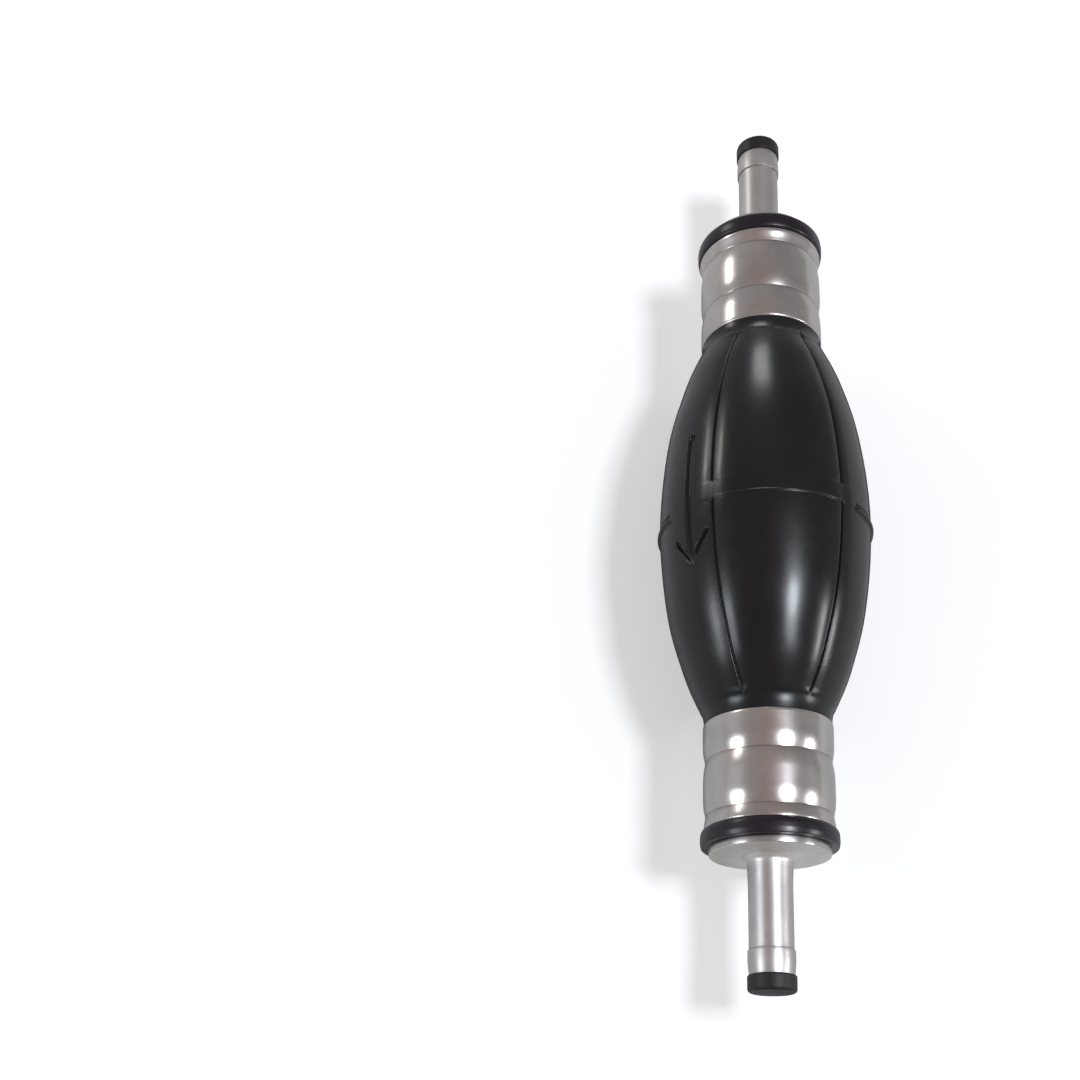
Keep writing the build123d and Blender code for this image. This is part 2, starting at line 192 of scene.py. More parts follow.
def rounded(points, steps):
    """Round the corners of a closed profile of (x, radius, corner rounding)."""
    out = []
    for i, (x, r, rounding) in enumerate(points):
        corner = np.array((x, r), float)
        back = np.array(points[i - 1][:2], float) - corner
        ahead = np.array(points[(i + 1) % len(points)][:2], float) - corner
        back_length, ahead_length = np.linalg.norm(back), np.linalg.norm(ahead)
        back, ahead = back / back_length, ahead / ahead_length
        angle = math.acos(float(np.clip(back @ ahead, -1, 1)))
        if rounding <= 0 or angle > math.radians(172):
            out.append(tuple(corner))
            continue
        reach = min(rounding / math.tan(angle / 2), 0.45 * back_length, 0.45 * ahead_length)
        rounding = reach * math.tan(angle / 2)
        middle = (back + ahead) / np.linalg.norm(back + ahead)
        centre = corner + middle * (rounding / math.sin(angle / 2))
        start = math.atan2(*(corner + back * reach - centre)[::-1])
        stop = math.atan2(*(corner + ahead * reach - centre)[::-1])
        sweep = (stop - start + math.pi) % (2 * math.pi) - math.pi
        for k in range(steps + 1):
            a = start + sweep * k / steps
            out.append((centre[0] + rounding * math.cos(a), centre[1] + rounding * math.sin(a)))
    return out


def densify(profile, longest):
    """Split long straight runs, so that a lathe has even faces."""
    out = []
    for i, point in enumerate(profile):
        start, stop = np.array(point), np.array(profile[(i + 1) % len(profile)])
        pieces = max(1, int(math.ceil(np.linalg.norm(stop - start) / longest)))
        out += [tuple(start + (stop - start) * j / pieces) for j in range(pieces)]
    return out


def lathe(name, profile, side, longest, segments=LATHE_SEGMENTS, sharp_angle=40, ripple=None):
    """Solid of revolution about X from a closed (x, radius) profile.
    Side -1 mirrors it to the inlet. ripple(x, radius, angles) adds to the radius."""
    profile = densify(profile, longest)
    area = sum(x * next_r - next_x * r
               for (x, r), (next_x, next_r) in zip(profile, profile[1:] + profile[:1]))
    if area < 0:
        profile = profile[::-1]
    verts, rings = [], []
    angles = np.arange(segments) * 2 * math.pi / segments
    for x, r in profile:
        first = len(verts)
        if r < 1e-5:
            rings.append([first] * segments)
            verts.append((side * x * MM, 0.0, 0.0))
            continue
        radii = np.full(segments, r)
        if ripple is not None:
            radii = radii + ripple(side * x, r, angles)
        for radius, a in zip(radii, angles):
            verts.append((side * x * MM, radius * math.sin(a) * MM, radius * math.cos(a) * MM))
        rings.append(list(range(first, first + segments)))
    faces = []
    for ring, after in zip(rings, rings[1:] + rings[:1]):
        if ring[0] == ring[1] and after[0] == after[1]:
            continue
        for k in range(segments):
            k2 = (k + 1) % segments
            # a repeated corner at the axis leaves a triangle
            face = tuple(dict.fromkeys((ring[k], ring[k2], after[k2], after[k])))
            faces.append(face if side > 0 else face[::-1])
    return new_object(name, verts, faces, sharp_angle)


def paint(obj, *materials):
    obj.data.materials.clear()
    for material in materials:
        obj.data.materials.append(material)


# ------------------------------------------------------------------ shader nodes
def rgba(colour, by=1.0):
    """The colour times one factor, or a factor for each channel, with alpha 1."""
    factors = by if isinstance(by, tuple) else (by,) * 3
    return tuple(c * f for c, f in zip(colour, factors)) + (1,)


class Nodes:
    """Adds shader nodes to a tree. An input may be a value or another node's socket."""

    def __init__(self, tree):
        self.tree = tree
        tree.nodes.clear()

    def wire(self, node, inputs):
        for key, value in inputs.items():
            if isinstance(value, bpy.types.NodeSocket):
                self.tree.links.new(value, node.inputs[key])
            else:
                node.inputs[key].default_value = value

    def new(self, kind, inputs=None, **settings):
        node = self.tree.nodes.new("ShaderNode" + kind)
        for key, value in settings.items():
            setattr(node, key, value)
        self.wire(node, inputs or {})
        return node

    def coords(self, scale=(1, 1, 1)):
        source = self.new("TexCoord").outputs["Object"]
        return self.new("Mapping", {"Scale": scale, "Vector": source}).outputs["Vector"]

    def noise(self, place, scale, detail, rough=0.5, distortion=0.0):
        return self.new("TexNoise", {"Scale": scale, "Detail": detail, "Roughness": rough,
                                     "Distortion": distortion, "Vector": place}).outputs["Fac"]

    def ramp(self, factor, *stops):
        """Colour ramp of (position, colour) stops."""
        node = self.new("ValToRGB", {"Fac": factor})
        elements = node.color_ramp.elements
        while len(elements) > 1:
            elements.remove(elements[-1])
        elements[0].position, elements[0].color = stops[0]
        for position, colour in stops[1:]:
            elements.new(position).color = colour
        return node.outputs["Color"]

    def remap(self, value, span, to, **settings):
        return self.new("MapRange", {"From Min": span[0], "From Max": span[1], "To Min": to[0],
                                     "To Max": to[1], "Value": value}, **settings).outputs["Result"]

    def calc(self, operation, *values):
        return self.new("Math", dict(enumerate(values)), operation=operation).outputs[0]

    def mix(self, factor, a, b):
        # inputs 6 and 7 and output 2 are the colour sockets
        return self.new("Mix", {0: factor, 6: a, 7: b}, data_type="RGBA").outputs[2]

    def mix_shader(self, factor, a, b):
        return self.new("MixShader", {0: factor, 1: a, 2: b}).outputs[0]

    def bump(self, height, strength, distance, normal=None):
        inputs = {"Strength": strength, "Distance": distance, "Height": height}
        if normal is not None:
            inputs["Normal"] = normal
        return self.new("Bump", inputs).outputs["Normal"]


def new_material(name):
    """A material with a Principled shader. Returns it, its Nodes, the shader and the output."""
    material = bpy.data.materials.new(name)
    material.use_nodes = True
    nodes = Nodes(material.node_tree)
    output = nodes.new("OutputMaterial")
    shader = nodes.new("BsdfPrincipled")
    nodes.wire(output, {0: shader.outputs[0]})
    return material, nodes, shader, output


# ------------------------------------------------------------------ materials
def rubber(name, base, rough, rough_var=0.10, specks=0.5, grain=2200.0, grain_depth=0.00004,
           tint=None, ior=1.5):
    """Moulded rubber: fine cast grain, uneven sheen and a little dust."""
    material, n, shader, _ = new_material(name)
    place = n.coords()
    big = n.noise(place, scale=38, detail=3, rough=0.55)
    mid = n.noise(place, scale=210, detail=4, rough=0.6)
    fine = n.noise(place, scale=grain, detail=2, rough=0.6)
    colour = n.ramp(big, (0.30, rgba(base, by=0.80)), (0.70, rgba(base, by=1.28)))
    if tint is not None:
        colour = n.mix(n.remap(mid, span=(0.35, 0.75), to=(0.0, 0.55)), colour, rgba(tint))
    # dust: tiny specks that gather in patches
    dots = n.noise(place, scale=5200, detail=1)
    dots = n.remap(dots, span=(0.745, 0.80), to=(0.0, 1.0))
    patch = n.noise(place, scale=90, detail=3, rough=0.6)
    dust = n.calc("MULTIPLY", dots, n.remap(patch, span=(0.48, 0.72), to=(0.0, specks)))
    colour = n.mix(dust, colour, (0.16, 0.155, 0.15, 1))

    swing = rough_var * 0.6
    broad = n.remap(big, span=(0.3, 0.7), to=(rough - swing, rough + swing))
    local = n.remap(mid, span=(0.3, 0.7), to=(-rough_var * 0.45, rough_var * 0.45))
    roughness = n.calc("ADD", broad, local)
    roughness = n.calc("ADD", roughness, n.calc("MULTIPLY", dust, 0.4))
    # seen edge-on, the cast grain shades itself and the sheen spreads out
    facing = n.new("LayerWeight", {"Blend": 0.5}).outputs["Facing"]
    spread = n.remap(facing, span=(0.83, 0.94), to=(0.0, 0.60))
    relief = n.bump(mid, strength=0.25, distance=0.00002)
    n.wire(shader, {
        "Base Color": colour,
        "Roughness": n.calc("ADD", roughness, spread),
        "Specular IOR Level": n.remap(facing, span=(0.92, 0.98), to=(0.5, 0.04)),
        "IOR": ior,
        "Coat Roughness": 0.18,
        "Normal": n.bump(fine, strength=0.50, distance=grain_depth, normal=relief)})
    return material


def groove_painted_shade(n, colour, base, place_x, valleys):
    """Painted shade in the rolled grooves: a thin dark line and a band fading towards the outlet,
    made patchy.
    """
    x = n.calc("DIVIDE", place_x, MM)
    patches = n.noise(n.coords((1.0, 0.5, 0.5)), scale=190, detail=3, rough=0.6)
    uneven = n.remap(patches, span=(0.35, 0.65), to=(0.45, 1.0))
    lines, bands = None, None
    for groove in [side * valley for side in (-1, 1) for valley in valleys]:
        offset = n.calc("SUBTRACT", x, groove)
        away = n.calc("ABSOLUTE", n.calc("SUBTRACT", offset, 0.05))
        line = n.remap(away, span=(0.06, 0.30), to=(1.0, 0.0))
        rise = n.remap(offset, span=(-0.05, 0.15), to=(0.0, 1.0))
        fall = n.remap(offset, span=(0.4, 2.6), to=(1.0, 0.0))
        band = n.calc("MULTIPLY", rise, n.calc("MULTIPLY", fall, fall))
        lines = line if lines is None else n.calc("ADD", lines, line)
        bands = band if bands is None else n.calc("ADD", bands, band)
    # painted shade: darken the colour in each valley and on the flank beyond it
    for painted_shade, strength, by in ((bands, 0.36, (0.62, 0.52, 0.47)), (lines, 0.70, (0.36, 0.31, 0.30))):
        factor = n.calc("MULTIPLY", n.calc("MULTIPLY", painted_shade, uneven), strength)
        colour = n.mix(factor, colour, rgba(base, by=by))
    return colour


def shoulder_painted_shade(n, colour, base, place, place_x, shoulder):
    """Painted shade under the barb's shoulder, at |x| = shoulder."""
    x = n.calc("DIVIDE", n.calc("ABSOLUTE", place_x), MM)
    away = n.calc("ABSOLUTE", n.calc("SUBTRACT", x, shoulder))
    # painted shade: a dark line at the shoulder, made patchy
    painted_shade = n.remap(away, span=(0.05, 0.26), to=(0.75, 0.0))
    patches = n.noise(place, scale=520, detail=2, rough=0.6)
    painted_shade = n.calc("MULTIPLY", painted_shade, n.remap(patches, span=(0.35, 0.6), to=(0.35, 1.0)))
    return n.mix(painted_shade, colour, rgba(base, by=(0.30, 0.27, 0.27)))


def turned_metal(name, base, rough, rough_var=0.10, mark_scale=5200, mark_depth=0.000006,
                 mark_rough=0.2, mottle=None, valleys=(), shoulder=None, near_flange=None):
    """Machined or rolled metal: fine tool marks round the axis, smudges and small marks.
    mark_ values shape the tool marks, and mottle is the colour of its stains."""
    material, n, shader, _ = new_material(name)
    place = n.coords()
    big = n.noise(place, scale=70, detail=4, rough=0.6, distortion=0.6)
    mid = n.noise(place, scale=420, detail=4, rough=0.65)
    dark = rgba(base, by=0.86)
    colour = n.ramp(big, (0.32, dark), (0.62, rgba(base)))

    # tool marks: noise read along X on walls and along the radius on faces
    axes = n.new("SeparateXYZ", {0: place}).outputs
    squares = [n.calc("MULTIPLY", axes[k], axes[k]) for k in ("Y", "Z")]
    radius = n.calc("SQRT", n.calc("ADD", *squares))
    section = n.new("CombineXYZ", {0: axes["X"], 1: radius}).outputs[0]
    marks = n.noise(section, scale=mark_scale, detail=3, rough=0.65)
    broad_marks = n.noise(section, scale=1500, detail=2)
    scratches = n.noise(n.coords((0.35, 1.0, 1.0)), scale=2600, detail=2, distortion=1.5)
    scratches = n.remap(scratches, span=(0.70, 0.74), to=(0.0, 1.0))
    colour = n.mix(n.remap(marks, span=(0.35, 0.65), to=(0.0, 0.07)), colour, dark)
    # faint drawing streaks along the axis
    streaks = n.noise(n.coords((0.045, 1.0, 1.0)), scale=900, detail=2, rough=0.6)
    colour = n.mix(n.remap(streaks, span=(0.40, 0.68), to=(0.0, 0.35)), colour, dark)
    if mottle is not None:
        # handling stains, then paler patches
        stain = n.noise(place, scale=165, detail=5, rough=0.62, distortion=0.8)
        stain = n.remap(stain, span=(0.40, 0.66), to=(0.0, 0.55))
        colour = n.mix(stain, colour, rgba(mottle))
        pale = n.noise(n.coords((0.6, 1.0, 1.0)), scale=310, detail=3, rough=0.6, distortion=0.4)
        pale = n.remap(pale, span=(0.52, 0.70), to=(0.0, 0.30))
        colour = n.mix(pale, colour, rgba(base, by=1.12))
    # painted shade along the sleeve grooves
    if valleys:
        colour = groove_painted_shade(n, colour, base, axes["X"], valleys)
    # painted shade under the barb's shoulder
    if shoulder is not None:
        colour = shoulder_painted_shade(n, colour, base, place, axes["X"], shoulder)
    if near_flange is not None:
        # another colour on the root of the stem
        x = n.calc("DIVIDE", n.calc("ABSOLUTE", axes["X"]), MM)
        inner = n.remap(radius, span=(9.0 * MM, 11.0 * MM), to=(1.0, 0.0))
        root = n.calc("MULTIPLY", n.remap(x, span=(81.0, 83.6), to=(1.0, 0.0)), inner)
        colour = n.mix(root, colour, rgba(near_flange))

    swing = rough_var * 0.5
    roughness = n.remap(big, span=(0.3, 0.7), to=(rough - swing, rough + swing))
    if near_flange is not None:
        # the rim is turned finer
        rim = n.remap(radius, span=(12.0 * MM, 13.2 * MM), to=(0.0, 0.15))
        roughness = n.calc("SUBTRACT", roughness, rim)
    swing = rough_var * mark_rough
    roughness = n.calc("ADD", roughness, n.remap(marks, span=(0.3, 0.7), to=(-swing, swing)))
    scratches = n.calc("MULTIPLY", scratches, 0.06 * mark_rough)
    relief = n.bump(broad_marks, strength=0.25, distance=mark_depth * 2)
    relief = n.bump(marks, strength=0.5, distance=mark_depth, normal=relief)
    n.wire(shader, {
        "Metallic": 1.0,
        "Base Color": colour,
        "Roughness": n.calc("ADD", roughness, scratches),
        "Normal": n.bump(mid, strength=0.025, distance=0.00001, normal=relief)})
    return material


def plastic(name, base):
    """Pale moulded plastic with a slightly uneven sheen."""
    material, n, shader, _ = new_material(name)
    place = n.coords()
    big = n.noise(place, scale=160, detail=3)
    fine = n.noise(place, scale=3000, detail=2)
    n.wire(shader, {
        "Base Color": n.ramp(big, (0.3, rgba(base, by=0.92)), (0.7, rgba(base))),
        "Roughness": n.remap(big, span=(0.3, 0.7), to=(0.34, 0.48)),
        "Normal": n.bump(fine, strength=0.4, distance=0.00002)})
    return material


MATERIALS = {
    "bulb": rubber("bulb_rubber", base=(0.0036, 0.0034, 0.0045), rough=0.262, rough_var=0.05,
                   specks=0.02, grain=2400, grain_depth=0.00001, ior=1.49),
    "ring": rubber("ring_rubber", base=(0.0064, 0.0035, 0.0064), rough=0.29, rough_var=0.08,
                   specks=0.02, grain=2600, grain_depth=0.00001, tint=(0.017, 0.008, 0.022)),
    "cap": rubber("cap_rubber", base=(0.0074, 0.0067, 0.0080), rough=0.50, specks=0.10,
                  grain=2600, grain_depth=0.00003),
    "seal": rubber("seal_rubber", base=(0.018, 0.018, 0.018), rough=0.45, specks=0.1),
    # the sleeve's valleys and the fitting's shoulder get painted shade
    "sleeve": turned_metal("sleeve_aluminium", base=(0.705, 0.665, 0.656), rough=0.243,
                           rough_var=0.045, mark_depth=0.00000015, mark_rough=0.03,
                           mottle=(0.620, 0.562, 0.530), valleys=GROOVES),
    "fitting": turned_metal("fitting_aluminium", base=(0.665, 0.632, 0.630), rough=0.42,
                            rough_var=0.06, mark_scale=4200, mark_depth=0.0000012,
                            mottle=(0.585, 0.553, 0.540), shoulder=101.62,
                            near_flange=(0.84, 0.82, 0.79)),
    "face": turned_metal("fitting_face", base=(0.88, 0.86, 0.825), rough=0.50,
                         mark_scale=3800, mark_depth=0.000003),
    "steel": turned_metal("spring_steel", base=(0.60, 0.60, 0.61), rough=0.28, rough_var=0.12),
    "plastic": plastic("valve_acetal", base=(0.80, 0.79, 0.74)),
}


# ------------------------------------------------------------------ bulb
def arrow_sink(x, s):
    """Depth of a sunk arrow that points to +X, at x and at s round the bulb from its middle."""
    def outside(ax, ay, bx, by, half):
        ex, ey = bx - ax, by - ay
        t = np.clip(((x - ax) * ex + (s - ay) * ey) / (ex * ex + ey * ey), 0, 1)
        return np.hypot(x - ax - t * ex, s - ay - t * ey) - half
    nearest = np.minimum.reduce([outside(*stroke) for stroke in ARROW_STROKES])
    return ARROW_DEPTH * (1 - smoothstep(nearest, -0.62, 0.08))


def panel_grooves(away_x, deg, offset):
    """Depth of the V grooves with soft shoulders, at a distance offset from a panel's edge."""
    # the groove beside the upper arrow is finer
    fine = np.where((deg < 0) & (deg > -90), 1.0, 0.0)
    valley = (0.66 - 0.20 * fine) * bell(offset, 0, 0.36 - 0.08 * fine, power=2.6)
    valley = valley + 0.15 * bell(offset, 0, 1.5) + 0.12 * bell(offset, 0, 4.5)
    # round the bulb's middle there is only a soft dip
    dip = 0.17 * bell(offset, 0, 2.2)
    belt = smoothstep(away_x, 1.9, 2.5)
    return valley * belt + dip * (1 - belt)


def side_ribs(x, signed):
    """Short raised ribs at +Y and -Y, each undercut along its upstream edge."""
    plus_y = smoothstep(signed, 47.4, 48.3) * (1 - smoothstep(signed, 131.7, 132.6))
    minus_y = smoothstep(-signed, 69.4, 70.4) * (1 - smoothstep(-signed, 109.6, 110.6))
    rib = 0.58 * bell(x, 2.45, 0.50, power=4) - 0.62 * bell(x, 1.40, 0.50, power=3)
    return rib * (plus_y + minus_y)


def bulb_surface(x, angle):
    """Outer radius at x and at the angle in radians, both arrays."""
    away_x = np.abs(x)
    deg = np.degrees(angle)
    signed = ((deg + 180) % 360) - 180
    fold = np.abs(signed)
    fold = np.where(fold > 90, 180 - fold, fold)    # degrees from the nearer panel's middle
    edge = panel_edge(np.clip(away_x, 0, 50))
    radius = bulb_radius(x)
    body = 1 - smoothstep(away_x, 44.6, 46.6)

    radius = radius - panel_grooves(away_x, deg, np.radians(fold - edge) * radius) * body
    # panels are crowned a little across
    radius = radius + 0.08 * np.cos(np.clip(fold / edge, 0, 1) * math.pi / 2) * body
    # collar: a small step down to a plain neck, which swells again at the inlet
    radius = (radius - 0.16 * smoothstep(away_x, 45.9, 46.7)
              + 0.10 * smoothstep(away_x, 48.6, 49.9) * (x < 0))
    # fine raised line across each panel, its fainter twin and the low band between them
    panel = 1 - smoothstep(fold - edge, -1.4, -0.5)
    lines = 0.16 * bell(x, 2.15, 0.20) + 0.035 * bell(x, -2.15, 0.20)
    radius = radius + panel * (lines + 0.02 * (1 - smoothstep(away_x, 1.9, 2.2)))
    radius = radius + side_ribs(x, signed)
    for middle in (ARROW_ANGLE, ARROW_ANGLE + 180):
        s = np.radians(((deg - middle + 180) % 360) - 180) * MIDDLE_R
        near = (np.abs(s) < 7) & (away_x < 19)
        sink = np.zeros_like(radius)
        sink[near] = arrow_sink(x[near], s[near])
        radius = radius - sink
    # uneven moulding: slow waves far below a tenth of a millimetre
    wave = 0.035 * np.sin(x * 0.21 + 1.3 * np.sin(2 * angle + 0.4))
    return radius + wave * np.cos(3 * angle + 0.05 * x) * body


def bulb_stations():
    runs = [np.arange(*run) for run in BODY_STATIONS] + [[BODY_END]]
    body = np.unique(np.round(np.concatenate(runs), 3))
    return np.concatenate([np.linspace(-NECK_END, -NECK_START, NECK_STATIONS), body,
                           np.linspace(NECK_START, NECK_END, NECK_STATIONS)])


def bulb_angles():
    """Degrees from one seam to the other, finer at the grooves and the arrow."""
    runs = [np.arange(-90, 90.01, 0.75)]
    for side in (-1, 1):
        for run in ((-4.0, -1.2, 0.4), (-1.2, 1.21, 0.12), (1.4, 4.0, 0.4)):
            runs.append(side * MIDDLE_EDGE + np.arange(*run))
    runs.append(np.arange(ARROW_ANGLE - 13, ARROW_ANGLE + 13.1, 0.32))
    angles = np.unique(np.round(np.concatenate(runs), 2))
    keep = [angles[0]]
    for angle in angles[1:]:
        if angle - keep[-1] > 0.1:
            keep.append(angle)
    keep[-1] = 90.0
    return np.array(keep)


def follow_grooves(x, deg):
    """Shift the angles so that the same mesh line stays on the groove all along x."""
    edge = panel_edge(np.clip(np.abs(x), 0, 50))
    away = np.abs(deg)
    outer = edge + (away - MIDDLE_EDGE) * (90 - edge) / (90 - MIDDLE_EDGE)
    return np.sign(deg) * np.where(away <= MIDDLE_EDGE, away * edge / MIDDLE_EDGE, outer)


def outer_wall(x, angle):
    body = bulb_surface(np.clip(x, -BODY_END, BODY_END), angle)
    return np.where(np.abs(x) > BODY_END + 0.01, crimp(x, NECK_R), body)


def inner_wall(x, angle):
    cavity = cavity_radius(np.clip(x, -CAVITY_END, CAVITY_END))
    return np.where(np.abs(x) > CAVITY_END, NECK_BORE_R, cavity)


def bulb_half(name, turn):
    """Closed half shell, centred on +Z and turned about X by turn."""
    stations = bulb_stations()
    angles = bulb_angles()
    rows, outer_n = len(stations), len(angles)
    # inner lines are picked from the outer ones so that the two boundaries match
    picked = list(range(0, outer_n - 1, INNER_STEP)) + [outer_n - 1]
    inner_n = len(picked)

    def wall(radius_at, degrees):
        x, deg = np.meshgrid(stations, degrees, indexing="ij")
        a = np.radians(follow_grooves(x, deg)) + turn
        r = radius_at(x, a)
        return np.stack([x, r * np.sin(a), r * np.cos(a)], -1).reshape(-1, 3) * MM

    outer, inner = wall(outer_wall, angles), wall(inner_wall, angles[picked])
    first_inner = len(outer)
    faces = []
    for i in range(rows - 1):
        for k in range(outer_n - 1):
            a = i * outer_n + k
            faces.append((a, a + outer_n, a + outer_n + 1, a + 1))
        for k in range(inner_n - 1):
            b = first_inner + i * inner_n + k
            faces.append((b, b + 1, b + inner_n + 1, b + inner_n))
        # seam walls
        a, b = i * outer_n, first_inner + i * inner_n
        faces.append((a, b, b + inner_n, a + outer_n))
        a, b = a + outer_n - 1, b + inner_n - 1
        faces.append((a, a + outer_n, b + inner_n, b))
    # end walls
    for i, flip in ((0, False), (rows - 1, True)):
        for j in range(inner_n - 1):
            face = [i * outer_n + k for k in range(picked[j], picked[j + 1] + 1)]
            b = first_inner + i * inner_n + j
            face += [b + 1, b]
            faces.append(tuple(face[::-1] if flip else face))
    return new_object(name, np.concatenate([outer, inner]), faces, sharp_angle=50)


bulb_halves = [bulb_half("bulb_upper", turn=0), bulb_half("bulb_lower", turn=math.pi)]
for half, grip, sign in zip(bulb_halves, ("top_grip", "bottom_grip"), (1, -1)):
    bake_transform(half)
    paint(half, MATERIALS["bulb"])
    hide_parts("bulb", f"bulb_{grip}_wall")


# ------------------------------------------------------------------ the two ends
def register(obj, body, replaced):
    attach(obj, body)
    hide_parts(replaced)


def sleeve_radius(x, side):
    # each groove's longer flank lies towards the outlet
    radius = crimp(x, SLEEVE_R, depth=0.56, nose=VALLEY_NOSE, half=4.0, power=2.0,
                   far_half=4.5, far_power=1.9, far_side=side)
    if side > 0:
        return radius
    # the inlet's last band is rolled to a cone
    cone = CONE_R + CONE_SLOPE * (np.hypot(x - GROOVES[1], VALLEY_NOSE) - VALLEY_NOSE)
    return np.where(x > GROOVES[1], np.maximum(radius, cone), radius)


def make_sleeve(end, side):
    """Thin sleeve with two rolled grooves and rounded lips."""
    runs = [np.arange(50.6, 74.3, 0.3)] + [g + np.arange(-0.6, 0.61, 0.08) for g in GROOVES]
    xs = np.unique(np.round(np.concatenate(runs), 3))
    profile = [(SLEEVE_START, SLEEVE_BORE_R), (SLEEVE_START, 14.45)]
    profile += [(SLEEVE_START + START_LIP_R * (1 - math.cos(a)), 14.42 + START_LIP_R * math.sin(a))
                for a in np.linspace(0.2, math.pi / 2, 5)]
    profile += list(zip(xs, sleeve_radius(xs, side)))
    lip = float(sleeve_radius(74.4, side))
    profile += [(END_LIP_X + END_LIP_R * math.sin(a), lip - END_LIP_R * (1 - math.cos(a)))
                for a in np.linspace(0, math.pi / 2, 6)]
    profile += [(END_LIP_X + END_LIP_R, SLEEVE_BORE_R)]
    profile += list(zip(xs[::-3], crimp(xs[::-3], SLEEVE_BORE_R)))

    def ripple(x, r, a):
        wave = 0.022 * np.sin(2 * a + 0.7 * side + x * 0.05) + 0.006 * np.sin(5 * a + x * 0.2)
        return wave * (r > 14.2)
    obj = lathe(end + "_sleeve_shell", profile, side, longest=3.0, ripple=ripple)
    paint(obj, MATERIALS["sleeve"])
    register(obj, "root", end + "_sleeve")


def make_ring(end, side):
    obj = lathe(end + "_ring", rounded(RING_PROFILE, steps=8), side, longest=0.8,
                ripple=lambda x, r, a: 0.02 * np.sin(3 * a + 1.1) * (r > 14))
    paint(obj, MATERIALS["ring"])
    register(obj, "root", end + "_end_ring")


def make_fitting(end, side):
    """Turned fitting: barbed stem, flange and a hollow shank with sawtooth ridges."""
    fillet = [(FACE_X + STEM_FILLET - STEM_FILLET * math.sin(a),
               STEM_R + STEM_FILLET - STEM_FILLET * math.cos(a), 0)
              for a in np.linspace(math.pi / 24, math.pi / 2 - math.pi / 24, 11)]
    profile = FITTING_BORE_AND_STEM + fillet + FITTING_FLANGE
    for x in RIDGES:
        profile += [(x, SHANK_R, 0.05), (x, RIDGE_R, 0.05), (x - RIDGE_LENGTH, SHANK_R, 0.1)]
    profile += FITTING_TIP
    obj = lathe(end + "_fitting_body", rounded(profile, steps=5), side, longest=1.0,
                sharp_angle=35)
    paint(obj, MATERIALS["fitting"], MATERIALS["face"])
    for polygon in obj.data.polygons:
        x, y, z = polygon.center
        if abs(abs(x) / MM - FACE_X) < 0.12 and math.hypot(y, z) / MM > 8.0:
            polygon.material_index = 1
    register(obj, "root", end + "_fitting")


def make_cap(end, side):
    obj = lathe(end + "_cap_plug", rounded(CAP_PROFILE, steps=8), side, longest=0.6,
                segments=CAP_SEGMENTS,
                ripple=lambda x, r, a: 0.012 * np.sin(2 * a + 0.5) * (r > 5))
    paint(obj, MATERIALS["cap"])
    register(obj, end + "_cap", end + "_port_cap")


def coil(name, start_x, stop_x, radius, wire, turns, along=36, around=12):
    """Round wire of radius wire, wound about X.
    along counts the steps in a turn and around the sides of the wire."""
    count = int(turns * along) + 1
    verts, faces = [], []
    for i in range(count):
        t = i / (count - 1)
        a = 2 * math.pi * turns * t
        sin_a, cos_a = math.sin(a), math.cos(a)
        centre = np.array([start_x + (stop_x - start_x) * t, radius * cos_a, radius * sin_a])
        pitch = (stop_x - start_x) / (2 * math.pi * turns)
        tangent = np.array([pitch, -radius * sin_a, radius * cos_a])
        tangent /= np.linalg.norm(tangent)
        outward = np.array([0.0, cos_a, sin_a])
        across = np.cross(tangent, outward)
        for k in range(around):
            b = 2 * math.pi * k / around
            point = centre + wire * (math.cos(b) * outward + math.sin(b) * across)
            verts.append(tuple(point * MM))
    for i in range(count - 1):
        a, b = i * around, (i + 1) * around
        for k in range(around):
            k2 = (k + 1) % around
            faces.append((a + k, a + k2, b + k2, b + k))
    faces.append(tuple(range(around))[::-1])
    faces.append(tuple((count - 1) * around + k for k in range(around)))
    return new_object(name, verts, faces, sharp_angle=50)


def make_spring(end):
    """Valve spring, wound evenly between the fixed cage and the poppet."""
    poppet_x, cage_x = VALVE_X[end] + SPRING_POPPET, VALVE_X[end] + SPRING_CAGE
    obj = coil(end + "_spring_coil", poppet_x, cage_x, radius=2.25, wire=0.22, turns=2.5)
    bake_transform(obj)
    paint(obj, MATERIALS["steel"])
    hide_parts(end + "_valve_spring")


# the other valve pieces keep their CAD shape
VALVE_MATERIALS = {"valve_seat": "plastic", "seat_o_ring": "seal", "valve_cage": "plastic",
                   "retaining_ring": "steel", "poppet": "plastic", "poppet_seal": "seal"}

for end, side in (("inlet", -1), ("outlet", 1)):
    make_sleeve(end, side)
    make_ring(end, side)
    make_fitting(end, side)
    make_cap(end, side)
    make_spring(end)
    for piece, material in VALVE_MATERIALS.items():
        paint(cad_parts[f"{end}_{piece}"], MATERIALS[material])

# ------------------------------------------------------------------ floor, metres
FLOOR_Z = -0.0254
FLOOR_HALF = 60
FLOOR_LINES = 16


def floor_material():
    """Pale table that glows more with distance and looks duller in reflections."""
    material, n, shader, output = new_material("pale_floor")
    place = n.coords()
    tone = n.noise(place, scale=6, detail=2)
    far = n.new("VectorMath", {0: place}, operation="LENGTH").outputs["Value"]
    grain = n.noise(place, scale=900, detail=2)
    n.wire(shader, {
        "Base Color": n.ramp(tone, (0.35, rgba((0.80,) * 3)), (0.65, rgba((0.83,) * 3))),
        "Roughness": 0.75,
        "Emission Color": (1, 1, 1, 1),
        "Emission Strength": n.remap(far, span=(0.22, 1.5), to=(0.37, 0.98)),
        "Normal": n.bump(grain, strength=0.1, distance=0.0001)})
    dull = n.new("BsdfDiffuse", {"Color": (0.60, 0.60, 0.60, 1)}).outputs[0]
    reflected = n.new("LightPath").outputs["Is Glossy Ray"]
    n.wire(output, {0: n.mix_shader(reflected, shader.outputs[0], dull)})
    return material


